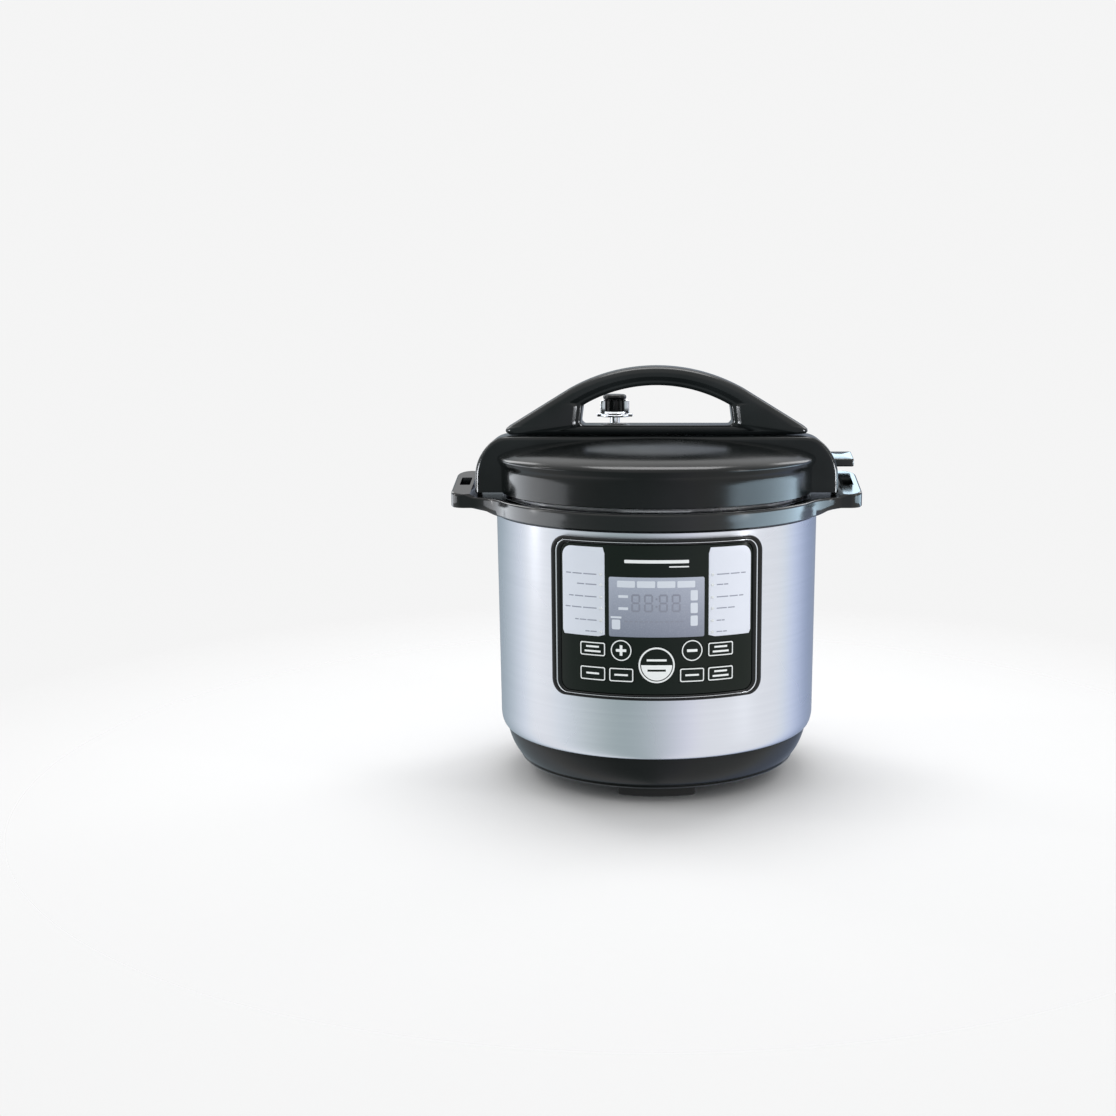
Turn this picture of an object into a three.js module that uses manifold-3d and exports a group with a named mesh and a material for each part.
// An electric pressure cooker of the 8 litre class, in millimetres.
// +Z is up, the control panel faces -Y, and the origin is on the pot's axis, level with the feet's soles.
import * as THREE from "three";
import { mergeVertices } from "three/addons/utils/BufferGeometryUtils.js";
import Module from "manifold-3d";

const wasm = await Module();
wasm.setup();

// ---------------------------------------------------------------------------------------------------------
// Driving dimensions
// ---------------------------------------------------------------------------------------------------------

const GAP = 0.3; // between pieces that touch in the real cooker
const CUT_PAST = 2; // how far a cutting tool runs past the face it cuts
const ROUND_SEGMENTS = 40; // facets of a large turned piece
const SMALL_SEGMENTS = 16; // facets of a small turned piece

// Steel shell
const SHELL_RADIUS = 140; // outside, at the top
const SHELL_TOP = 231;
const SHELL_BOTTOM = 43.7;
const SHELL_WALL = 1.2;
const SHELL_TAPER = 1.4; // narrower by this much at the bottom of the straight wall
const CURL_HEIGHT = 12.3; // the rolled-in lower edge
const CURL_DEPTH = 4.3;

// Base shell and feet
const BASE_WALL = 2.6;
const BASE_UNDERSIDE = 14.4;
const BASE_SETBACK = 0.9; // the base starts this far inside the curled edge
const BASE_RIM_SETBACK = 13.4; // the underside's rim, inside the curled edge
const BASE_BULGE_HEIGHT = 28; // height of the control point of the base's curve
const BASE_BULGE_INSET = 2.5; // the same point, inside the base's top edge
const VENT_COUNT = 8;
const VENT_LENGTH = 26;
const VENT_WIDTH = 4;
const VENT_INSET = 6; // from the feet to the slots
const FOOT_INSET = 36.3; // from the curled edge to the feet
const FOOT_DEPTH = 22;
const FOOT_HALF_WIDTH = 34;

// Collar and ears
const COLLAR_HEIGHT = 14.4;
const COLLAR_PROUD = 1.5; // stands out past the shell
const EAR_HALF_DEPTH = 32;
const EAR_CORNER = 11;
const EAR_FLARE = 24; // how far along the collar an ear's fillet runs
const EAR_BEND = 2; // the fillet's control point, outside the ear's side
const EAR_LIFT = 5.3; // underside of the ear above the underside of the collar
const EAR_BLOCK = 18; // the raised end block's length, outwards
const SWEEP_CLEARANCE = 0.8; // between the lid's turning shoulder and the end block
const EAR_FRONT_RISE = 2.8; // end block above the collar's top, at the front
const EAR_BACK_RISE = 16.3; // the same, at the back
const SLOT_WIDTH = 9;
const SLOT_LENGTH = 20;
const SLOT_OFFSET = 3; // towards the back
const SLOT_WALL = 3.5; // between the slot and the end block's inner face

// Pot, its housing and the locking ring
const HOUSING_INSET = 12; // from the shell's outside to the housing's outside
const HOUSING_WALL = 1;
const HOUSING_DROP = 16; // housing's floor below the heating plate's top
const POT_SIDE_GAP = 5.5;
const POT_WALL = 1.2;
const POT_FLANGE = 4.5;
const POT_CORNER = 16;
const POT_RIM_RISE = 9; // pot's rim above the shell's top
const LOCK_WALL = 1.5;
const LOCK_HEIGHT = 13.7;
const LOCK_LUG_HEIGHT = 2.4;
const LUG_COUNT = 6;
const LUG_ARC = 26; // degrees
const LUG_REACH = 1.8;

// Heating and sensing
const PLATE_INSET = 36.5; // from the pot's side to the heating plate's edge
const PLATE_THICKNESS = 12;
const PLATE_LIFT = 10; // plate's underside above the spring beam
const SENSOR_RADIUS = 13;
const SENSOR_CAP = 4.5;
const SENSOR_STEM = 6;
const SENSOR_LENGTH = 31;
const SENSOR_SIDE_GAP = 2;
const BEAM_LENGTH = 190;
const BEAM_WIDTH = 30;
const BEAM_THICKNESS = 2;
const BEAM_CORNER = 6;
const BEAM_LIFT = 23; // beam's top above the base's floor
const STEM_CLEARANCE = 1;
const SPRING_RADIUS = 9;
const SPRING_WIRE = 0.8;
const SPRING_TURNS = 4;

// Electrical parts under the pot: x and y of the corner nearest the left front, and sizes
const FUSE = { inset: 15, y: -46, length: 24, width: 8, height: 14 }; // inset from the plate's edge
const FUSE_DROP = 2; // below the heating plate
const SWITCH = { x: 56, length: 22, width: 14, height: 13 };
const BOARD = { inset: 28.9, y: -32, length: 72, width: 84, lift: 5 }; // inset from the base's rim
const TRANSFORMER = { inset: 6, y: 22, length: 24, width: 22, height: 12 }; // inset from the board's end
const RELAY = { inset: 40, y: 26, length: 18, width: 20, height: 12 };

// Control panel, measured along its curved face
const PANEL_PROUD = 6; // bezel's face, outside the shell
const PANEL_HALF_WIDTH = 92.5;
const PANEL_DROP = 4.2; // from the shell's top to the bezel
const PANEL_HEIGHT = 131.5;
const PANEL_CORNER = 13;
const BEZEL_SIDE = 10;
const BEZEL_END = 5;
const FASCIA_RECESS = 1.4; // fascia's face behind the bezel's face
const FASCIA_THICKNESS = 2.6;
const FASCIA_CORNER = 8;
const LABEL_THICKNESS = 1;
const LABEL_DISPLAY_GAP = 3.5; // between a label and the display
const LABEL_SIDE_GAP = 2; // between a label and the fascia's side
const LABEL_TOP_GAP = 2.5; // between a label and the fascia's top
const LABEL_LIFT = 51.7; // above the bezel's lower edge
const LABEL_CORNER = 5;
const DISPLAY_HALF_WIDTH = 39;
const DISPLAY_LIFT = 52.2;
const DISPLAY_HEIGHT = 48.5;
const DISPLAY_CORNER = 1.5;
const BUTTON_PROUD = 1; // above the fascia
const BUTTON_STROKE = 0.6;
const BUTTON_CLEARANCE = 0.4;
const BUTTON_CORNER = 1.6;
const MAT_THICKNESS = 1.4;
const MAT_MARGIN = 9; // past the middles of the button rows
const MAT_SIDE_GAP = 2;
const MAT_CORNER = 3;
const BOARD_THICKNESS = 1.6;
const CONTROL_BOARD = { halfWidth: 33, bottomGap: 13, topGap: 22, backGap: 1.3 };
const MODULE = { halfWidth: 30, edgeGap: 2, frontGap: 0.6 };
const BUTTON_ROWS = { upper: 41.2, lower: 21.1, start: 29.7 }; // above the bezel's lower edge
const RECTANGLE = { halfWidth: 11.6, halfHeight: 6.3 };
const BUTTONS = [
  { name: "button_upper_left", arc: -53, row: "upper", ...RECTANGLE },
  { name: "button_plus", arc: -28.8, row: "upper", radius: 9 },
  { name: "button_start", arc: 0, row: "start", radius: 15.1 },
  { name: "button_minus", arc: 28.8, row: "upper", radius: 9 },
  { name: "button_upper_right", arc: 53, row: "upper", ...RECTANGLE },
  { name: "button_lower_left_outer", arc: -53, row: "lower", ...RECTANGLE },
  { name: "button_lower_left_inner", arc: -28.8, row: "lower", ...RECTANGLE, halfWidth: 10.7 },
  { name: "button_lower_right_inner", arc: 28.8, row: "lower", ...RECTANGLE, halfWidth: 10.7 },
  { name: "button_lower_right_outer", arc: 53, row: "lower", ...RECTANGLE },
];

// Lid
const LID_GAP = 3.5; // between the collar's top and the lid cover's lower edge
const LID_INSET = 4; // lid wall's outside, inside the shell's outside
const LID_WALL = 2.4;
const LID_WALL_HEIGHT = 25;
const LID_BROW = 3.3; // how far the dome overhangs the lid wall
const LID_BROW_HEIGHT = 4;
const DOME_HEIGHT = 18;
const SHOULDER_PROUD = 17; // past the shell
const SHOULDER_HALF_DEPTH = 25;
const SHOULDER_WALL = 3;
const SHOULDER_STRAIGHT = 12.6; // upright part above the lid cover's lower edge
const SHOULDER_CURVE_WIDTH = 45;
const SHOULDER_SWEEP = 58.74; // degrees of the curve's quarter ellipse, up to the ridge
const RIDGE_PROUD = 1.5; // top of the ridge above the dome's top
const FIN_LENGTH = 18;
const FIN_FRONT = 15;
const FIN_THICKNESS = 23;
const FIN_HEIGHT = 6.7; // at its front
const FIN_RISE = 4.9; // how much higher its top is at the back
const FIN_ABOVE_EAR = 5.4;
const SKIRT_WALL = 1.6;
const SKIRT_BELOW_RIM = 2; // steel skirt's lower edge below the pot's rim
const SKIRT_HEIGHT = 24;
const SKIRT_GAP = 0.8; // between the pot's flange and the steel skirt
const STEEL_DOME = 12;

// Handle
const HANDLE_HALF_DEPTH = 20;
const HANDLE_INSET = 27; // from the shoulder's side to the handle's tip
const HANDLE_HEIGHT = 58.9;
const HANDLE_TIP = 6;
const TIP_BULGE = 1;
const TIP_UNDERCUT = 3;
const HANDLE_CROWN_RADIUS = 156.5;
const HANDLE_CROWN_HALF = 77; // half width of the crown's arc
const GRIP_HALF_WIDTH = 66;
const GRIP_SIDE_LEAN = 2.3;
const GRIP_SILL = 8.4; // bar under the finger gap
const GRIP_TOP_RADIUS = 126.4;
const GRIP_BAR = 16.1; // handle's thickness over the finger gap
const SCREW_OFFSET = 108;
const SCREW_RADIUS = 2;
const SCREW_LENGTH = 16;
const SCREW_CLEARANCE = 0.4;

// Steam valve and float
const VALVE_X = -38.6;
const VALVE_Y = 77;
const PIPE_RADIUS = 4.5;
const PIPE_BORE = 2;
const BOSS_RADIUS = 15;
const BOSS_RISE = 7; // above the dome, at the boss's middle
const BOSS_ROOT = 1; // how far the boss reaches into the dome
const KNOB_RADIUS = 8.75;
const KNOB_SKIRT = 13.5;
const KNOB_CAP = 10.8;
const KNOB_WING = 16.5;
const KNOB_WING_THICKNESS = 4;
const KNOB_SKIRT_HEIGHT = 2;
const KNOB_NECK = 4; // knob's skirt has narrowed to the body at this height
const KNOB_CAP_HEIGHT = 4.5;
const KNOB_EDGE = 1;
const KNOB_HEIGHT = 20.5;
const KNOB_LIFT = 8; // knob's underside above the boss
const KNOB_BORE_DEPTH = 11;
const NUT_RADIUS = 8;
const NUT_HEIGHT = 4;
const PIPE_BELOW = 5; // pipe's lower end under the steel lid
const PIPE_CLEARANCE = 2; // between the pipe and the cover
const SHIELD_RADIUS = 10;
const SHIELD_HEIGHT = 10;
const SHIELD_WALL = 1;
const FLOAT_X = 34;
const FLOAT_Y = 62;
const FLOAT_RADIUS = 3;
const FLOAT_CAP = 5.5;
const FLOAT_CAP_HEIGHT = 4;
const FLOAT_STROKE = 5;
const FLOAT_CLEARANCE = 1.5;
const FLOAT_SETBACK = 2; // pin's top below the dome

// Inner lid and seal
const SEAL_WIDTH = 6;
const SEAL_HEIGHT = 8;
const LINER_THICKNESS = 1.4;
const LINER_LIP = 6.5;
const POST_RADIUS = 4;
const POST_BELOW = 2; // post's lower end under the grommet
const GROMMET_RADIUS = 8.7;
const GROMMET_HEIGHT = 3.6;

// Rear: power inlet and condensation cup
const INLET_HALF_WIDTH = 15;
const INLET_LIFT = 2.5; // above the base's floor
const INLET_HEIGHT = 21;
const INLET_PROUD = 2.7; // past the curled edge
const INLET_DEPTH = 29;
const INLET_FLANGE = 2.4;
const INLET_FLANGE_RIM = 2.2;
const SOCKET_WALL = 2.8;
const SOCKET_DEPTH = 16;
const PIN_HALF_THICKNESS = 1;
const PIN_HALF_HEIGHT = 2;
const PIN_LENGTH = 27;
const PIN_SPACING = 7;
const PIN_SETBACK = 5; // pin tips behind the socket's mouth
const PIN_RISE = 1.1; // live and neutral above the socket's middle
const EARTH_DROP = 3.6;
const CUP_HALF_WIDTH = 22;
const CUP_DROP = 21; // from the shell's top to the cup's mouth
const CUP_HEIGHT = 42;
const CUP_WALL = 1.4;
const CUP_DEPTH = 8.3;
const CUP_CLEARANCE = 2.9; // cup's back from the shell, at the middle
const RAIL_HALF_WIDTH = 9;
const RAIL_HEIGHT = 22;

// ---------------------------------------------------------------------------------------------------------
// Sizes that follow from them
// ---------------------------------------------------------------------------------------------------------

const baseTop = SHELL_BOTTOM - GAP;
const baseFloor = BASE_UNDERSIDE + BASE_WALL;
const beamTop = baseFloor + BEAM_LIFT;
const plateLow = beamTop + PLATE_LIFT;
const plateTop = plateLow + PLATE_THICKNESS;
const housingFloor = plateTop - HOUSING_DROP;
const curlRadius = SHELL_RADIUS - SHELL_TAPER - CURL_DEPTH;
const collarLow = SHELL_TOP + GAP;
const collarTop = collarLow + COLLAR_HEIGHT;
const collarOuter = SHELL_RADIUS + COLLAR_PROUD;
const housingOuter = SHELL_RADIUS - HOUSING_INSET;
const housingInner = housingOuter - HOUSING_WALL;
const potOuter = housingInner - POT_SIDE_GAP;
const potFloor = plateTop + GAP;
const potRim = SHELL_TOP + POT_RIM_RISE;
const flangeRadius = potOuter + POT_FLANGE;
const skirtInner = flangeRadius + SKIRT_GAP;
const skirtOuter = skirtInner + SKIRT_WALL;
const lidLugRadius = skirtOuter + LUG_REACH - GAP;
const lockInner = skirtOuter + 2 * LUG_REACH;
const lockOuter = lockInner + LOCK_WALL;
const collarInner = lockOuter + GAP;
const lidLow = collarTop + LID_GAP;
const lidWallTop = lidLow + LID_WALL_HEIGHT;
const lidRadius = SHELL_RADIUS - LID_INSET;
const domeRadius = lidRadius + LID_BROW;
const domeEdge = lidWallTop + LID_BROW_HEIGHT;
const ridgeTop = domeEdge + DOME_HEIGHT + RIDGE_PROUD;
const handleLow = ridgeTop + GAP;
const shoulderReach = SHELL_RADIUS + SHOULDER_PROUD;
const earBlockInner = Math.hypot(shoulderReach, SHOULDER_HALF_DEPTH) + SWEEP_CLEARANCE;
const earReach = earBlockInner + EAR_BLOCK;
const baseRim = curlRadius - BASE_RIM_SETBACK;
const footOuter = curlRadius - FOOT_INSET;
const plateRadius = potOuter - PLATE_INSET;
const panelHigh = SHELL_TOP - PANEL_DROP;
const panelLow = panelHigh - PANEL_HEIGHT;
const handleHalfSpan = shoulderReach - HANDLE_INSET;
const inletReach = curlRadius + INLET_PROUD;
const inletLow = baseFloor + INLET_LIFT;
const inletHigh = inletLow + INLET_HEIGHT;
const bezelFace = SHELL_RADIUS + PANEL_PROUD;
const fasciaFace = bezelFace - FASCIA_RECESS;
const fasciaBack = fasciaFace - FASCIA_THICKNESS;
const skirtLow = potRim - SKIRT_BELOW_RIM;
const skirtTop = skirtLow + SKIRT_HEIGHT;
const linerLow = potRim + GAP + SEAL_HEIGHT + GAP;

const FINISHES = {
  brushedSteel: { color: 0xc3cad4, roughness: 0.32, metalness: 1 },
  plainSteel: { color: 0xb4b8bd, roughness: 0.38, metalness: 1 },
  aluminium: { color: 0xb9bbbe, roughness: 0.45, metalness: 1 },
  brass: { color: 0xc9a558, roughness: 0.35, metalness: 1 },
  glossBlack: { color: 0x15181a, roughness: 0.18, metalness: 0 },
  satinBlack: { color: 0x1b1d1f, roughness: 0.42, metalness: 0 },
  fascia: { color: 0x0d110f, roughness: 0.12, metalness: 0 },
  silverLabel: { color: 0xd9dde6, roughness: 0.4, metalness: 0.3 },
  display: { color: 0x7b8494, roughness: 0.15, metalness: 0 },
  whiteKey: { color: 0xe9ecec, roughness: 0.4, metalness: 0 },
  board: { color: 0x1e5a3a, roughness: 0.5, metalness: 0 },
  silicone: { color: 0xdfe3e2, roughness: 0.6, metalness: 0 },
  rubber: { color: 0x191919, roughness: 0.8, metalness: 0 },
  component: { color: 0x2b2d33, roughness: 0.5, metalness: 0 },
};

// ---------------------------------------------------------------------------------------------------------
// Solids
// ---------------------------------------------------------------------------------------------------------

// A closed geometry as a solid that can be joined and cut.
function solidOf(geometry) {
  const bare = geometry.clone();
  bare.deleteAttribute("normal");
  bare.deleteAttribute("uv");
  const merged = mergeVertices(bare, 1e-4);
  const corners = [];
  for (let i = 0; i < merged.index.count; i += 3) {
    const [a, b, c] = [0, 1, 2].map((k) => merged.index.getX(i + k));
    if (a !== b && b !== c && c !== a) corners.push(a, b, c);
  }
  const vertProperties = new Float32Array(merged.attributes.position.array);
  const triVerts = new Uint32Array(corners);
  return new wasm.Manifold(new wasm.Mesh({ numProp: 3, vertProperties, triVerts }));
}

// A solid as a geometry with flat facets.
function geometryOf(solid) {
  const mesh = solid.getMesh();
  const geometry = new THREE.BufferGeometry();
  geometry.setAttribute("position", new THREE.BufferAttribute(new Float32Array(mesh.vertProperties), 3));
  geometry.setIndex(new THREE.BufferAttribute(new Uint32Array(mesh.triVerts), 1));
  const facets = geometry.toNonIndexed();
  facets.computeVertexNormals();
  return facets;
}

const join = (first, ...others) => others.reduce((whole, other) => whole.add(other), first);
const cut = (first, ...tools) => tools.reduce((whole, tool) => whole.subtract(tool), first);

// Points of an elliptical quarter or part of it, from one angle to another, in degrees.
function ellipseArc([centreR, centreZ], [halfWidth, halfHeight], from, to, steps) {
  return Array.from({ length: steps + 1 }, (_, i) => {
    const angle = THREE.MathUtils.degToRad(from + ((to - from) * i) / steps);
    return [centreR + halfWidth * Math.cos(angle), centreZ + halfHeight * Math.sin(angle)];
  });
}

// A solid turned about the Z axis, from an outline of [radius, height] points that closes on itself.
function turned(outline, segments = ROUND_SEGMENTS) {
  const next = (i) => outline[(i + 1) % outline.length];
  const area = outline.reduce((sum, [r, z], i) => sum + r * next(i)[1] - next(i)[0] * z, 0);
  const ordered = area > 0 ? outline : [...outline].reverse();
  const points = [...ordered, ordered[0]].map(([r, z]) => new THREE.Vector2(r, z));
  return solidOf(new THREE.LatheGeometry(points, segments).rotateX(Math.PI / 2));
}

const disc = (radius, low, high, segments) =>
  turned([[0, low], [radius, low], [radius, high], [0, high]], segments);

const ring = (inner, outer, low, high, segments) =>
  turned([[inner, low], [outer, low], [outer, high], [inner, high]], segments);

// A block between two opposite corners.
function block([x0, y0, z0], [x1, y1, z1]) {
  const geometry = new THREE.BoxGeometry(x1 - x0, y1 - y0, z1 - z0);
  return solidOf(geometry.translate((x0 + x1) / 2, (y0 + y1) / 2, (z0 + z1) / 2));
}

// A plan outline raised from one height to another.
function raised(shape, low, high, curveSegments = 8) {
  const options = { depth: high - low, bevelEnabled: false, curveSegments };
  const geometry = new THREE.ExtrudeGeometry(shape, options);
  return solidOf(geometry.translate(0, 0, low));
}

// An outline in X and Z carried along Y, from one distance to another.
function carriedAlongY(shape, from, to, curveSegments = 8) {
  const options = { depth: to - from, bevelEnabled: false, curveSegments };
  const geometry = new THREE.ExtrudeGeometry(shape, options);
  return solidOf(geometry.rotateX(Math.PI / 2).translate(0, to, 0));
}

// An outline in Y and Z carried along X, from one distance to another.
function carriedAlongX(shape, from, to) {
  const geometry = new THREE.ExtrudeGeometry(shape, { depth: to - from, bevelEnabled: false });
  return solidOf(geometry.rotateX(Math.PI / 2).rotateZ(Math.PI / 2).translate(from, 0, 0));
}

function polygon(points) {
  return new THREE.Shape(points.map(([x, y]) => new THREE.Vector2(x, y)));
}

function circle(radius, [x, y] = [0, 0]) {
  return new THREE.Shape().absarc(x, y, radius, 0, 2 * Math.PI, false);
}

function roundedRectangle(x0, y0, x1, y1, corner) {
  const quarter = Math.PI / 2;
  const shape = new THREE.Shape();
  shape.absarc(x1 - corner, y0 + corner, corner, -quarter, 0, false);
  shape.absarc(x1 - corner, y1 - corner, corner, 0, quarter, false);
  shape.absarc(x0 + corner, y1 - corner, corner, quarter, 2 * quarter, false);
  shape.absarc(x0 + corner, y0 + corner, corner, 2 * quarter, 3 * quarter, false);
  return shape;
}

// The plan of a part of a ring, centred on the -Y side.
function sector(inner, outer, halfAngle) {
  const front = -Math.PI / 2;
  const shape = new THREE.Shape();
  shape.absarc(0, 0, outer, front - halfAngle, front + halfAngle, false);
  shape.absarc(0, 0, inner, front + halfAngle, front - halfAngle, true);
  return shape;
}

// Equal blocks round a ring, as one list: the lugs of the bayonet lock.
function lugs(inner, outer, low, high) {
  const halfAngle = THREE.MathUtils.degToRad(LUG_ARC / 2);
  const lug = raised(sector(inner, outer, halfAngle), low, high, 2);
  return Array.from({ length: LUG_COUNT }, (_, i) => lug.rotate([0, 0, (360 * i) / LUG_COUNT]));
}

const parts = new THREE.Group();

// Adds one piece to the cooker.
function add(name, solid, finish) {
  const mesh = new THREE.Mesh(geometryOf(solid), new THREE.MeshStandardMaterial(FINISHES[finish]));
  mesh.name = name;
  parts.add(mesh);
  return mesh;
}

// ---------------------------------------------------------------------------------------------------------
// Body: shell, base, feet, collar
// ---------------------------------------------------------------------------------------------------------

// The shell's side from the top down, moved inwards by an inset: a slight taper, then the rolled edge.
function shellSide(inset) {
  const straightLow = SHELL_BOTTOM + CURL_HEIGHT;
  const lower = SHELL_RADIUS - SHELL_TAPER - inset;
  const curl = ellipseArc([lower - CURL_DEPTH, straightLow], [CURL_DEPTH, CURL_HEIGHT], 0, -90, 4);
  return [[SHELL_RADIUS - inset, SHELL_TOP], ...curl];
}

function addOuterShell() {
  const wall = turned([...shellSide(0), ...shellSide(SHELL_WALL).reverse()]);
  const window = curvedPlate({
    inner: SHELL_RADIUS - PANEL_PROUD - SHELL_WALL,
    outer: bezelFace,
    arcs: [-panelHole.halfWidth, panelHole.halfWidth],
    heights: [panelHole.low, panelHole.high],
    corner: FASCIA_CORNER,
  });
  add("outer_shell", cut(wall, window), "brushedSteel");
}

// The base's curved side, moved inwards by an inset, from the top down.
function baseSide(inset, low) {
  const top = new THREE.Vector2(curlRadius - BASE_SETBACK - inset, baseTop);
  const bulge = new THREE.Vector2(curlRadius - BASE_SETBACK - inset - BASE_BULGE_INSET, BASE_BULGE_HEIGHT);
  const rim = new THREE.Vector2(baseRim - inset, low);
  return new THREE.QuadraticBezierCurve(top, bulge, rim).getPoints(4).map(({ x, y }) => [x, y]);
}

function ventSlots() {
  const start = footOuter - FOOT_DEPTH - VENT_LENGTH - VENT_INSET;
  const low = BASE_UNDERSIDE - CUT_PAST;
  const high = baseFloor + CUT_PAST;
  const slot = block([start, -VENT_WIDTH / 2, low], [start + VENT_LENGTH, VENT_WIDTH / 2, high]);
  return Array.from({ length: VENT_COUNT }, (_, i) => slot.rotate([0, 0, (360 * (i + 0.5)) / VENT_COUNT]));
}

function addBaseShell() {
  const outline = [...baseSide(0, BASE_UNDERSIDE), [0, BASE_UNDERSIDE], [0, baseFloor]];
  const bowl = turned([...outline, ...baseSide(BASE_WALL, baseFloor).reverse()]);
  const inlet = block(
    [-INLET_HALF_WIDTH - GAP, inletReach - INLET_DEPTH - CUT_PAST, inletLow - GAP],
    [INLET_HALF_WIDTH + GAP, inletReach + CUT_PAST, inletHigh + GAP],
  );
  add("base_shell", cut(bowl, inlet, ...ventSlots()), "glossBlack");
}

function addFeet() {
  const halfAngle = FOOT_HALF_WIDTH / footOuter;
  const plan = sector(footOuter - FOOT_DEPTH, footOuter, halfAngle);
  const top = BASE_UNDERSIDE - GAP;
  [["foot_front", 0], ["foot_right", 120], ["foot_left", 240]].forEach(([name, turn]) => {
    add(name, raised(plan, 0, top, 3), "rubber").rotation.z = THREE.MathUtils.degToRad(turn);
  });
}

// The plan of the ear on the +X side, with its fillets into the collar.
function earPlan() {
  const rootY = EAR_HALF_DEPTH + EAR_FLARE;
  const rootX = Math.sqrt(collarOuter ** 2 - rootY ** 2);
  const shape = new THREE.Shape();
  const quarter = Math.PI / 2;
  shape.moveTo(rootX, -rootY);
  shape.quadraticCurveTo(collarOuter, -EAR_HALF_DEPTH - EAR_BEND, earBlockInner, -EAR_HALF_DEPTH);
  shape.absarc(earReach - EAR_CORNER, -EAR_HALF_DEPTH + EAR_CORNER, EAR_CORNER, -quarter, 0, false);
  shape.absarc(earReach - EAR_CORNER, EAR_HALF_DEPTH - EAR_CORNER, EAR_CORNER, 0, quarter, false);
  shape.lineTo(earBlockInner, EAR_HALF_DEPTH);
  shape.quadraticCurveTo(collarOuter, EAR_HALF_DEPTH + EAR_BEND, rootX, rootY);
  return shape;
}

// One ear: a flat ledge, and an end block whose top rises to the back, with the slot for the lid's fin.
function ear() {
  const low = collarLow + EAR_LIFT;
  const highest = collarTop + EAR_BACK_RISE + CUT_PAST;
  const ledge = raised(earPlan(), low, collarTop, 3);
  const end = raised(earPlan(), low, highest, 3);
  const wedge = carriedAlongX(
    polygon([
      [-EAR_HALF_DEPTH, low],
      [EAR_HALF_DEPTH, low],
      [EAR_HALF_DEPTH, collarTop + EAR_BACK_RISE],
      [-EAR_HALF_DEPTH, collarTop + EAR_FRONT_RISE],
    ]),
    earBlockInner,
    earReach + CUT_PAST,
  );
  const slotX = earBlockInner + SLOT_WALL;
  const slot = block(
    [slotX, SLOT_OFFSET - SLOT_LENGTH / 2, low - CUT_PAST],
    [slotX + SLOT_WIDTH, SLOT_OFFSET + SLOT_LENGTH / 2, highest],
  );
  return cut(join(ledge, end.intersect(wedge)), slot);
}

function addCollar() {
  const right = ear();
  const left = right.mirror([1, 0, 0]);
  const bore = disc(collarInner, collarLow - CUT_PAST, collarTop + EAR_BACK_RISE);
  const round = ring(collarInner - CUT_PAST, collarOuter, collarLow, collarTop);
  add("collar_ring", cut(join(round, right, left), bore), "glossBlack");
}

// ---------------------------------------------------------------------------------------------------------
// Pot, its housing and the heating
// ---------------------------------------------------------------------------------------------------------

function addLockingRing() {
  const low = SHELL_TOP + GAP;
  const high = low + LOCK_HEIGHT;
  const flange = ring(lockInner - 2 * LUG_REACH + GAP, lockInner + GAP, low, low + LOCK_WALL);
  const wall = ring(lockInner, lockOuter, low, high);
  const teeth = lugs(lockInner - LUG_REACH, lockInner + GAP, high - LOCK_LUG_HEIGHT, high);
  add("locking_ring", join(wall, flange, ...teeth), "plainSteel");
}

function addPotHousing() {
  const opening = plateRadius + 3 * GAP;
  const inside = housingFloor + HOUSING_WALL;
  const outline = [
    [opening, housingFloor],
    [housingOuter, housingFloor],
    [housingOuter, SHELL_TOP],
    [housingInner, SHELL_TOP],
    [housingInner, inside],
    [opening, inside],
  ];
  add("pot_housing", turned(outline), "plainSteel");
}

function addInnerPot() {
  const inner = potOuter - POT_WALL;
  const centre = [potOuter - POT_CORNER, potFloor + POT_CORNER];
  const outside = ellipseArc(centre, [POT_CORNER, POT_CORNER], -90, 0, 3);
  const inside = ellipseArc(centre, [POT_CORNER - POT_WALL, POT_CORNER - POT_WALL], -90, 0, 3).reverse();
  const flange = [
    [potOuter, potRim - POT_WALL],
    [flangeRadius, potRim - POT_WALL],
    [flangeRadius, potRim],
    [inner, potRim],
  ];
  const outline = [[0, potFloor], ...outside, ...flange, ...inside, [0, potFloor + POT_WALL]];
  add("inner_pot", turned(outline), "plainSteel");
}

function addHeating() {
  add("heating_plate", ring(SENSOR_RADIUS + SENSOR_SIDE_GAP, plateRadius, plateLow, plateTop), "aluminium");
  const fuseEnd = plateRadius - FUSE.inset;
  const fuse = block(
    [fuseEnd - FUSE.length, FUSE.y, plateLow - FUSE_DROP - FUSE.height],
    [fuseEnd, FUSE.y + FUSE.width, plateLow - FUSE_DROP],
  );
  add("thermal_fuse", fuse, "component");
}

function addSensor() {
  const capLow = plateTop - SENSOR_CAP;
  const cap = disc(SENSOR_RADIUS, capLow, plateTop, SMALL_SEGMENTS);
  const stem = disc(SENSOR_STEM, plateTop - SENSOR_LENGTH, capLow + GAP, SMALL_SEGMENTS);
  add("temperature_sensor", join(cap, stem), "aluminium");
}

// A coil spring between the beam and the sensor's cap.
function addSensorSpring() {
  const low = beamTop + GAP + SPRING_WIRE;
  const high = plateTop - SENSOR_CAP - GAP - SPRING_WIRE;
  const steps = SPRING_TURNS * 12;
  const points = Array.from({ length: steps + 1 }, (_, i) => {
    const angle = (2 * Math.PI * SPRING_TURNS * i) / steps;
    const height = low + ((high - low) * i) / steps;
    return new THREE.Vector3(SPRING_RADIUS * Math.cos(angle), SPRING_RADIUS * Math.sin(angle), height);
  });
  const wire = new THREE.ExtrudeGeometry(circle(SPRING_WIRE), {
    steps,
    curveSegments: 2,
    extrudePath: new THREE.CatmullRomCurve3(points),
  });
  add("sensor_spring", solidOf(wire), "plainSteel");
}

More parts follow.
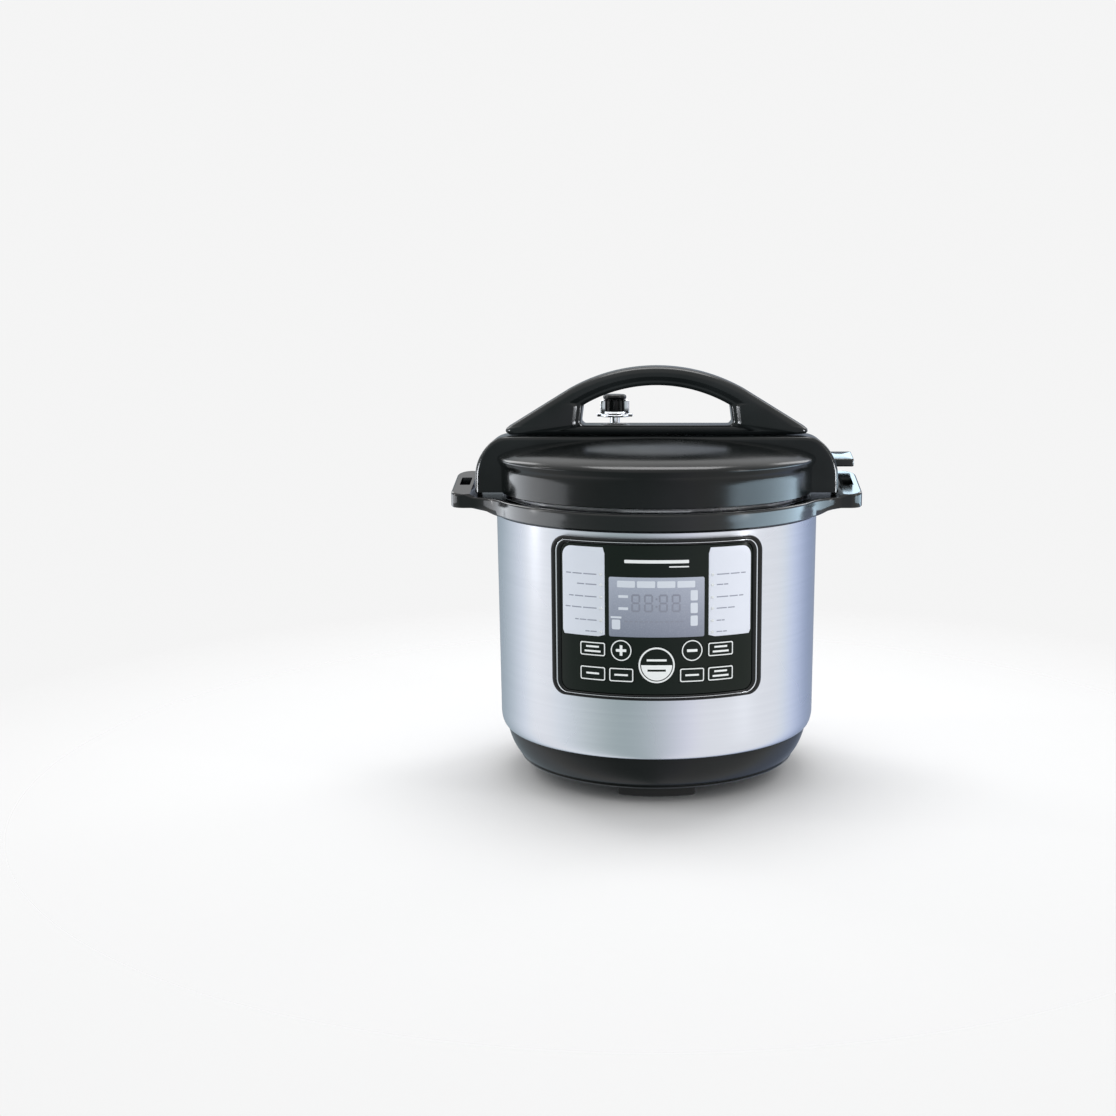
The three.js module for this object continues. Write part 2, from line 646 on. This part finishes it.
function addBeam() {
  const half = [BEAM_LENGTH / 2, BEAM_WIDTH / 2];
  const plan = roundedRectangle(-half[0], -half[1], half[0], half[1], BEAM_CORNER);
  const beamLow = beamTop - BEAM_THICKNESS;
  const hole = disc(SENSOR_STEM + STEM_CLEARANCE, beamLow - CUT_PAST, beamTop + CUT_PAST, SMALL_SEGMENTS);
  add("spring_beam", cut(raised(plan, beamLow, beamTop, 3), hole), "plainSteel");
  const top = beamLow - GAP;
  const { x, length, width, height } = SWITCH;
  add("pressure_switch", block([x, -width / 2, top - height], [x + length, width / 2, top]), "component");
}

function addPowerBoard() {
  const low = baseFloor + BOARD.lift;
  const top = low + BOARD_THICKNESS;
  const end = -baseRim + BOARD.inset;
  add("power_board", block([end, BOARD.y, low], [end + BOARD.length, BOARD.y + BOARD.width, top]), "board");
  [["transformer", TRANSFORMER], ["relay", RELAY]].forEach(([name, size]) => {
    const [x, y, z] = [end + size.inset, size.y, top + GAP];
    add(name, block([x, y, z], [x + size.length, y + size.width, z + size.height]), "component");
  });
}

// ---------------------------------------------------------------------------------------------------------
// Control panel
// ---------------------------------------------------------------------------------------------------------

// The angle round the axis of a distance measured along the bezel's face.
const panelAngle = (arc) => arc / bezelFace;

const fasciaHole = {
  halfWidth: PANEL_HALF_WIDTH - BEZEL_SIDE,
  low: panelLow + BEZEL_END,
  high: panelHigh - BEZEL_END,
};
const panelHole = {
  halfWidth: PANEL_HALF_WIDTH - 2 * BEZEL_SIDE,
  low: panelLow + 2 * BEZEL_END,
  high: panelHigh - 2 * BEZEL_END,
};

// A plate that follows the shell, between two arcs and two heights, with rounded corners.
function curvedPlate({ inner, outer, arcs, heights, corner }) {
  const [low, high] = heights;
  const middle = (arcs[0] + arcs[1]) / 2;
  const halfAngle = panelAngle((arcs[1] - arcs[0]) / 2);
  const halfWidth = outer * Math.sin(halfAngle);
  const outline = roundedRectangle(-halfWidth, low, halfWidth, high, corner);
  const face = carriedAlongY(outline, -outer - CUT_PAST, 0, 2);
  const bend = raised(sector(inner, outer, halfAngle), low, high, 7);
  return bend.intersect(face).rotate([0, 0, THREE.MathUtils.radToDeg(panelAngle(middle))]);
}

// The sides of a piece, moved outwards by a margin.
const grown = ({ arcs, heights, corner }, margin) => ({
  arcs: [arcs[0] - margin, arcs[1] + margin],
  heights: [heights[0] - margin, heights[1] + margin],
  corner: corner + margin,
});

const displayLow = panelLow + DISPLAY_LIFT;
const labelInner = DISPLAY_HALF_WIDTH + LABEL_DISPLAY_GAP;
const labelOuter = fasciaHole.halfWidth - LABEL_SIDE_GAP;
const labelHeights = [panelLow + LABEL_LIFT, fasciaHole.high - LABEL_TOP_GAP];
const rowHeight = (row) => panelLow + BUTTON_ROWS[row];

const fasciaSides = {
  arcs: [-fasciaHole.halfWidth, fasciaHole.halfWidth],
  heights: [fasciaHole.low, fasciaHole.high],
  corner: FASCIA_CORNER,
};
const displaySides = {
  arcs: [-DISPLAY_HALF_WIDTH, DISPLAY_HALF_WIDTH],
  heights: [displayLow, displayLow + DISPLAY_HEIGHT],
  corner: DISPLAY_CORNER,
};
const labelSides = {
  left: { arcs: [-labelOuter, -labelInner], heights: labelHeights, corner: LABEL_CORNER },
  right: { arcs: [labelInner, labelOuter], heights: labelHeights, corner: LABEL_CORNER },
};

// The outline of a button's cap, grown by a margin.
function buttonOutline({ radius, halfWidth, halfHeight }, height, margin) {
  if (radius) return circle(radius + margin, [0, height]);
  const corner = BUTTON_CORNER + margin;
  const [w, h] = [halfWidth + margin, halfHeight + margin];
  return roundedRectangle(-w, height - h, w, height + h, corner);
}

function buttonSolid(button, margin, from, to) {
  const outline = buttonOutline(button, rowHeight(button.row), margin);
  return carriedAlongY(outline, -to, -from, button.radius ? 8 : 1);
}

function buttonHoles() {
  return BUTTONS.map((button) => {
    const tool = buttonSolid(button, BUTTON_CLEARANCE, fasciaBack - 2 * CUT_PAST, bezelFace);
    return tool.rotate([0, 0, THREE.MathUtils.radToDeg(panelAngle(button.arc))]);
  });
}

function addPanel() {
  const plate = curvedPlate({
    inner: SHELL_RADIUS + GAP,
    outer: bezelFace,
    arcs: [-PANEL_HALF_WIDTH, PANEL_HALF_WIDTH],
    heights: [panelLow, panelHigh],
    corner: PANEL_CORNER,
  });
  const through = { inner: SHELL_RADIUS - CUT_PAST, outer: bezelFace + CUT_PAST };
  const hole = curvedPlate({ ...through, ...fasciaSides });
  add("panel_bezel", cut(plate, hole), "glossBlack");

  const body = curvedPlate({ inner: fasciaBack, outer: fasciaFace, ...grown(fasciaSides, -GAP) });
  const window = curvedPlate({ ...through, ...grown(displaySides, GAP) });
  const seat = { inner: fasciaFace - LABEL_THICKNESS - GAP, outer: bezelFace };
  const seats = Object.values(labelSides).map((sides) => curvedPlate({ ...seat, ...grown(sides, GAP) }));
  add("panel_fascia", cut(body, window, ...seats, ...buttonHoles()), "fascia");

  add("display_window", curvedPlate({ inner: fasciaBack, outer: fasciaFace, ...displaySides }), "display");
  Object.entries(labelSides).forEach(([side, sides]) => {
    const label = curvedPlate({ inner: fasciaFace - LABEL_THICKNESS, outer: fasciaFace, ...sides });
    add(`label_plate_${side}`, label, "silverLabel");
  });
}

function addButtons() {
  const back = fasciaBack - BUTTON_STROKE;
  BUTTONS.forEach((button) => {
    const finish = button.name === "button_start" ? "whiteKey" : "fascia";
    const cap = add(button.name, buttonSolid(button, 0, back, fasciaFace + BUTTON_PROUD), finish);
    cap.rotation.z = panelAngle(button.arc);
  });
}

// The key mat, the display module and the flat board behind the panel.
function addPanelInsides() {
  const matFace = fasciaBack - 3 * BUTTON_STROKE - 2 * GAP;
  const mat = curvedPlate({
    inner: matFace - MAT_THICKNESS,
    outer: matFace,
    arcs: [-panelHole.halfWidth + MAT_SIDE_GAP, panelHole.halfWidth - MAT_SIDE_GAP],
    heights: [rowHeight("lower") - MAT_MARGIN, rowHeight("upper") + MAT_MARGIN],
    corner: MAT_CORNER,
  });
  add("key_mat", mat, "silicone");
  const boardBack = housingOuter + CONTROL_BOARD.backGap;
  const boardFront = boardBack + BOARD_THICKNESS;
  const board = block(
    [-CONTROL_BOARD.halfWidth, -boardFront, panelLow + CONTROL_BOARD.bottomGap],
    [CONTROL_BOARD.halfWidth, -boardBack, panelHigh - CONTROL_BOARD.topGap],
  );
  add("control_board", board, "board");
  const moduleFront = Math.sqrt(fasciaBack ** 2 - MODULE.halfWidth ** 2) - MODULE.frontGap;
  const module = block(
    [-MODULE.halfWidth, -moduleFront, displayLow + MODULE.edgeGap],
    [MODULE.halfWidth, -boardFront - GAP, displayLow + DISPLAY_HEIGHT - MODULE.edgeGap],
  );
  add("display_module", module, "component");
}

// ---------------------------------------------------------------------------------------------------------
// Lid
// ---------------------------------------------------------------------------------------------------------

// Height of the cover's outside at a distance from the axis.
const domeHeight = (radius) => domeEdge + DOME_HEIGHT * Math.sqrt(1 - (radius / domeRadius) ** 2);

function lidShell() {
  const inner = lidRadius - LID_WALL;
  const outside = ellipseArc([0, domeEdge], [domeRadius, DOME_HEIGHT], 0, 90, 6);
  const inside = ellipseArc([0, domeEdge - LID_WALL], [inner, DOME_HEIGHT], 90, 0, 6);
  return turned([[inner, lidLow], [lidRadius, lidLow], [lidRadius, lidWallTop], ...outside, ...inside]);
}

// The outline in X and Z of the band that crosses the dome and comes down over both sides.
function shoulderOutline(inset) {
  const reach = shoulderReach - inset;
  const curveLow = lidLow + SHOULDER_STRAIGHT;
  const top = ridgeTop - inset;
  const height = (ridgeTop - curveLow) / Math.sin(THREE.MathUtils.degToRad(SHOULDER_SWEEP));
  const size = [SHOULDER_CURVE_WIDTH - inset, height];
  const centre = [reach - size[0], curveLow];
  const highest = THREE.MathUtils.radToDeg(Math.asin((top - curveLow) / height));
  const right = [[reach, lidLow], ...ellipseArc(centre, size, 0, highest, 7)];
  const left = right.map(([x, z]) => [-x, z]).reverse();
  return polygon([...right, ...left]);
}

// The band as a hollow moulding: solid outside, open below, kept clear of the round lid wall inside.
function shoulders() {
  const band = carriedAlongY(shoulderOutline(0), -SHOULDER_HALF_DEPTH, SHOULDER_HALF_DEPTH);
  const depth = SHOULDER_HALF_DEPTH - SHOULDER_WALL;
  const hollow = carriedAlongY(shoulderOutline(SHOULDER_WALL), -depth, depth);
  const round = disc(lidRadius - GAP, lidLow - CUT_PAST, ridgeTop + CUT_PAST);
  const pockets = cut(hollow.translate([0, 0, -CUT_PAST]), round);
  const inside = lidInside();
  return cut(band, pockets, inside);
}

// The space under the cover, used to keep the shoulders out of it.
function lidInside() {
  const inner = lidRadius - LID_WALL;
  const arc = ellipseArc([0, domeEdge - LID_WALL], [inner, DOME_HEIGHT], 0, 90, 6);
  return turned([[0, lidLow - CUT_PAST], [inner, lidLow - CUT_PAST], ...arc]);
}

// The fin that stands in an ear's slot when the lid is parked on edge.
function fin() {
  const low = collarTop + EAR_BACK_RISE + FIN_ABOVE_EAR;
  const back = FIN_FRONT + FIN_THICKNESS;
  const wedge = polygon([
    [FIN_FRONT, low],
    [back, low],
    [back, low + FIN_HEIGHT + FIN_RISE],
    [FIN_FRONT, low + FIN_HEIGHT],
  ]);
  return carriedAlongX(wedge, shoulderReach - 2 * SHOULDER_WALL, shoulderReach + FIN_LENGTH);
}

const valveRadius = Math.hypot(VALVE_X, VALVE_Y);
const bossTop = domeHeight(valveRadius) + BOSS_RISE;
const knobLow = bossTop + KNOB_LIFT;

function screwHoles(low, high) {
  return [-1, 1].map((side) => {
    const hole = disc(SCREW_RADIUS + SCREW_CLEARANCE, low, high, SMALL_SEGMENTS);
    return hole.translate([side * SCREW_OFFSET, 0, 0]);
  });
}

function addLidCover() {
  const bossLow = domeHeight(valveRadius + BOSS_RADIUS) - BOSS_ROOT;
  const boss = disc(BOSS_RADIUS, bossLow, bossTop, SMALL_SEGMENTS);
  const pipeHole = disc(PIPE_RADIUS + PIPE_CLEARANCE, lidLow, bossTop + CUT_PAST, SMALL_SEGMENTS);
  const floatHole = disc(FLOAT_RADIUS + FLOAT_CLEARANCE, lidLow, ridgeTop + CUT_PAST, SMALL_SEGMENTS);
  const solid = cut(
    join(lidShell(), shoulders(), fin(), boss.translate([VALVE_X, VALVE_Y, 0])),
    pipeHole.translate([VALVE_X, VALVE_Y, 0]),
    floatHole.translate([FLOAT_X, FLOAT_Y, 0]),
    ...screwHoles(lidLow, ridgeTop + CUT_PAST),
  );
  add("lid_cover", solid, "glossBlack");
}

// The handle's outline in X and Z: a crown arc, straight slopes down to the tips, and the finger gap.
function handleOutline() {
  const top = handleLow + HANDLE_HEIGHT;
  const crownZ = top - HANDLE_CROWN_RADIUS;
  const crownHalf = Math.asin(HANDLE_CROWN_HALF / HANDLE_CROWN_RADIUS);
  const up = Math.PI / 2;
  const shape = new THREE.Shape();
  shape.moveTo(-handleHalfSpan + TIP_UNDERCUT, handleLow);
  shape.lineTo(handleHalfSpan - TIP_UNDERCUT, handleLow);
  shape.lineTo(handleHalfSpan + TIP_BULGE, handleLow + HANDLE_TIP / 2);
  shape.lineTo(handleHalfSpan, handleLow + HANDLE_TIP);
  shape.absarc(0, crownZ, HANDLE_CROWN_RADIUS, up - crownHalf, up + crownHalf, false);
  shape.lineTo(-handleHalfSpan, handleLow + HANDLE_TIP);
  shape.lineTo(-handleHalfSpan - TIP_BULGE, handleLow + HANDLE_TIP / 2);
  shape.holes.push(gripOutline(top - GRIP_BAR));
  return shape;
}

// The finger gap under the handle, up to a given height.
function gripOutline(top) {
  const sill = handleLow + GRIP_SILL;
  const half = GRIP_HALF_WIDTH - GRIP_SIDE_LEAN;
  const halfAngle = Math.asin(half / GRIP_TOP_RADIUS);
  const up = Math.PI / 2;
  const path = new THREE.Path();
  path.moveTo(-GRIP_HALF_WIDTH, sill);
  path.lineTo(GRIP_HALF_WIDTH, sill);
  path.absarc(0, top - GRIP_TOP_RADIUS, GRIP_TOP_RADIUS, up - halfAngle, up + halfAngle, false);
  return path;
}

function addHandle() {
  const arch = carriedAlongY(handleOutline(), -HANDLE_HALF_DEPTH, HANDLE_HALF_DEPTH, 6);
  const screwTop = ridgeTop - LID_WALL + SCREW_LENGTH;
  add("arch_handle", cut(arch, ...screwHoles(handleLow - CUT_PAST, screwTop + GAP)), "glossBlack");
  ["left", "right"].forEach((name, i) => {
    const low = ridgeTop - 2 * SHOULDER_WALL;
    const screw = disc(SCREW_RADIUS, low, screwTop, 12);
    const side = i === 0 ? -1 : 1;
    add(`handle_screw_${name}`, screw, "plainSteel").position.x = side * SCREW_OFFSET;
  });
}

// Height of the steel lid's underside at a distance from the axis.
const steelUnderside = (radius) =>
  skirtTop - SKIRT_WALL + STEEL_DOME * Math.sqrt(1 - (radius / skirtInner) ** 2);

function addSteelLid() {
  const outside = ellipseArc([0, skirtTop], [skirtOuter, STEEL_DOME], 0, 90, 4);
  const inside = ellipseArc([0, skirtTop - SKIRT_WALL], [skirtInner, STEEL_DOME], 90, 0, 4);
  const shell = turned([[skirtInner, skirtLow], [skirtOuter, skirtLow], ...outside, ...inside]);
  const teeth = lugs(skirtOuter - GAP, lidLugRadius, skirtLow, skirtLow + LOCK_LUG_HEIGHT);
  const high = skirtTop + STEEL_DOME + CUT_PAST;
  const pipeHole = disc(PIPE_RADIUS + GAP, skirtTop, high, SMALL_SEGMENTS);
  const floatHole = disc(FLOAT_RADIUS + GAP, skirtTop, high, SMALL_SEGMENTS);
  const solid = cut(
    join(shell, ...teeth),
    pipeHole.translate([VALVE_X, VALVE_Y, 0]),
    floatHole.translate([FLOAT_X, FLOAT_Y, 0]),
  );
  add("steel_lid", solid, "plainSteel");
}

// The vent pipe through the steel lid, its nut, and the shield that keeps food out of it.
function addVentPipe() {
  const under = steelUnderside(valveRadius);
  const pipeLow = under - PIPE_BELOW;
  const pipe = ring(PIPE_BORE, PIPE_RADIUS, pipeLow, knobLow + KNOB_BORE_DEPTH - 2 * GAP, SMALL_SEGMENTS);
  add("vent_pipe", pipe, "plainSteel").position.set(VALVE_X, VALVE_Y, 0);
  const nutLow = steelUnderside(valveRadius - NUT_RADIUS) + SKIRT_WALL + GAP;
  const bore = disc(PIPE_RADIUS + GAP, nutLow - CUT_PAST, nutLow + NUT_HEIGHT + CUT_PAST, SMALL_SEGMENTS);
  const nut = cut(disc(NUT_RADIUS, nutLow, nutLow + NUT_HEIGHT, 6), bore);
  add("vent_nut", nut, "brass").position.set(VALVE_X, VALVE_Y, 0);
  const shieldTop = pipeLow - GAP;
  const cup = [
    [0, shieldTop - SHIELD_HEIGHT],
    [SHIELD_RADIUS, shieldTop - SHIELD_HEIGHT],
    [SHIELD_RADIUS, shieldTop],
    [SHIELD_RADIUS - SHIELD_WALL, shieldTop],
    [SHIELD_RADIUS - SHIELD_WALL, shieldTop - SHIELD_HEIGHT + SHIELD_WALL],
    [0, shieldTop - SHIELD_HEIGHT + SHIELD_WALL],
  ];
  add("anti_block_shield", turned(cup, SMALL_SEGMENTS), "plainSteel").position.set(VALVE_X, VALVE_Y, 0);
}

function addValveKnob() {
  const top = knobLow + KNOB_HEIGHT;
  const capLow = top - KNOB_CAP_HEIGHT;
  const half = KNOB_WING_THICKNESS / 2;
  const bore = PIPE_RADIUS + GAP;
  const outline = [
    [0, knobLow + KNOB_BORE_DEPTH],
    [bore, knobLow + KNOB_BORE_DEPTH],
    [bore, knobLow],
    [KNOB_SKIRT, knobLow],
    [KNOB_SKIRT, knobLow + KNOB_SKIRT_HEIGHT],
    [KNOB_RADIUS, knobLow + KNOB_NECK],
    [KNOB_RADIUS, capLow - KNOB_EDGE],
    [KNOB_CAP, capLow],
    [KNOB_CAP, top - KNOB_EDGE],
    [KNOB_CAP - KNOB_EDGE, top],
    [0, top],
  ];
  const wings = [-1, 1].map((side) => {
    const ends = [side * (KNOB_RADIUS - KNOB_EDGE), side * KNOB_WING];
    return block([Math.min(...ends), -half, knobLow], [Math.max(...ends), half, capLow - KNOB_EDGE / 2]);
  });
  add("valve_knob", join(turned(outline, SMALL_SEGMENTS), ...wings), "glossBlack")
    .position.set(VALVE_X, VALVE_Y, 0);
}

function addFloat() {
  const radius = Math.hypot(FLOAT_X, FLOAT_Y);
  const capTop = steelUnderside(radius + FLOAT_CAP) - FLOAT_STROKE - GAP;
  const pinTop = domeHeight(radius) - FLOAT_SETBACK;
  const pin = disc(FLOAT_RADIUS, capTop + GAP, pinTop, SMALL_SEGMENTS);
  add("float_pin", pin, "plainSteel").position.set(FLOAT_X, FLOAT_Y, 0);
  const cap = disc(FLOAT_CAP, capTop - FLOAT_CAP_HEIGHT, capTop, SMALL_SEGMENTS);
  add("float_cap", cap, "silicone").position.set(FLOAT_X, FLOAT_Y, 0);
}

function addInnerLid() {
  const sealOuter = flangeRadius - 2 * GAP;
  const sealInner = sealOuter - SEAL_WIDTH;
  add("sealing_ring", ring(sealInner, sealOuter, potRim + GAP, potRim + GAP + SEAL_HEIGHT), "silicone");
  const top = linerLow + LINER_THICKNESS;
  const hole = GROMMET_RADIUS + GAP;
  const lipOuter = sealInner - GAP;
  const outline = [
    [hole, linerLow],
    [lipOuter - LINER_THICKNESS, linerLow],
    [lipOuter - LINER_THICKNESS, linerLow - LINER_LIP],
    [lipOuter, linerLow - LINER_LIP],
    [lipOuter, linerLow],
    [sealOuter, linerLow],
    [sealOuter, top],
    [hole, top],
  ];
  add("inner_lid_plate", turned(outline), "plainSteel");
  const grommetLow = linerLow - (GROMMET_HEIGHT - LINER_THICKNESS) / 2;
  const grommetHigh = grommetLow + GROMMET_HEIGHT;
  const grommet = ring(POST_RADIUS + GAP, GROMMET_RADIUS, grommetLow, grommetHigh, SMALL_SEGMENTS);
  add("liner_grommet", grommet, "silicone");
  const postTop = steelUnderside(0) - GAP;
  add("centre_post", disc(POST_RADIUS, grommetLow - POST_BELOW, postTop, SMALL_SEGMENTS), "plainSteel");
}

// ---------------------------------------------------------------------------------------------------------
// Rear
// ---------------------------------------------------------------------------------------------------------

const inletMiddle = (inletLow + inletHigh) / 2;
const PINS = [
  { name: "inlet_pin_live", x: -PIN_SPACING, z: inletMiddle + PIN_RISE },
  { name: "inlet_pin_neutral", x: PIN_SPACING, z: inletMiddle + PIN_RISE },
  { name: "inlet_pin_earth", x: 0, z: inletMiddle - EARTH_DROP },
];

// One upright pin of the inlet, grown by a margin, between two distances from the axis.
function pinBlock({ x, z }, margin, from, to) {
  const [w, h] = [PIN_HALF_THICKNESS + margin, PIN_HALF_HEIGHT + margin];
  return block([x - w, from, z - h], [x + w, to, z + h]);
}

function addInlet() {
  const back = inletReach - INLET_DEPTH;
  const rim = INLET_FLANGE_RIM;
  const body = block([-INLET_HALF_WIDTH, back, inletLow], [INLET_HALF_WIDTH, inletReach, inletHigh]);
  const flange = block(
    [-INLET_HALF_WIDTH - rim, inletReach - INLET_FLANGE, inletLow - rim],
    [INLET_HALF_WIDTH + rim, inletReach, inletHigh + rim],
  );
  const socket = block(
    [-INLET_HALF_WIDTH + SOCKET_WALL, inletReach - SOCKET_DEPTH, inletLow + SOCKET_WALL],
    [INLET_HALF_WIDTH - SOCKET_WALL, inletReach + CUT_PAST, inletHigh - SOCKET_WALL],
  );
  const pinHoles = PINS.map((pin) => pinBlock(pin, GAP, back - CUT_PAST, inletReach));
  add("power_inlet", cut(join(body, flange), socket, ...pinHoles), "satinBlack");
  const tip = inletReach - PIN_SETBACK;
  PINS.forEach((pin) => add(pin.name, pinBlock(pin, 0, tip - PIN_LENGTH, tip), "brass"));
}

function addCondensationCup() {
  const back = SHELL_RADIUS + CUP_CLEARANCE;
  const high = SHELL_TOP - CUP_DROP;
  const low = high - CUP_HEIGHT;
  const outer = block([-CUP_HALF_WIDTH, back, low], [CUP_HALF_WIDTH, back + CUP_DEPTH, high]);
  const inner = block(
    [-CUP_HALF_WIDTH + CUP_WALL, back + CUP_WALL, low + CUP_WALL],
    [CUP_HALF_WIDTH - CUP_WALL, back + CUP_DEPTH - CUP_WALL, high + CUT_PAST],
  );
  add("condensation_cup", cut(outer, inner), "display");
  const railHigh = high - 2 * CUP_WALL;
  const rail = block(
    [-RAIL_HALF_WIDTH, SHELL_RADIUS + GAP, railHigh - RAIL_HEIGHT],
    [RAIL_HALF_WIDTH, back - GAP, railHigh],
  );
  add("cup_rail", rail, "satinBlack");
}

addOuterShell();
addBaseShell();
addFeet();
addCollar();
addLockingRing();
addPotHousing();
addInnerPot();
addHeating();
addSensor();
addSensorSpring();
addBeam();
addPowerBoard();
addPanel();
addButtons();
addPanelInsides();
addLidCover();
addHandle();
addSteelLid();
addVentPipe();
addValveKnob();
addFloat();
addInnerLid();
addInlet();
addCondensationCup();

export default parts;
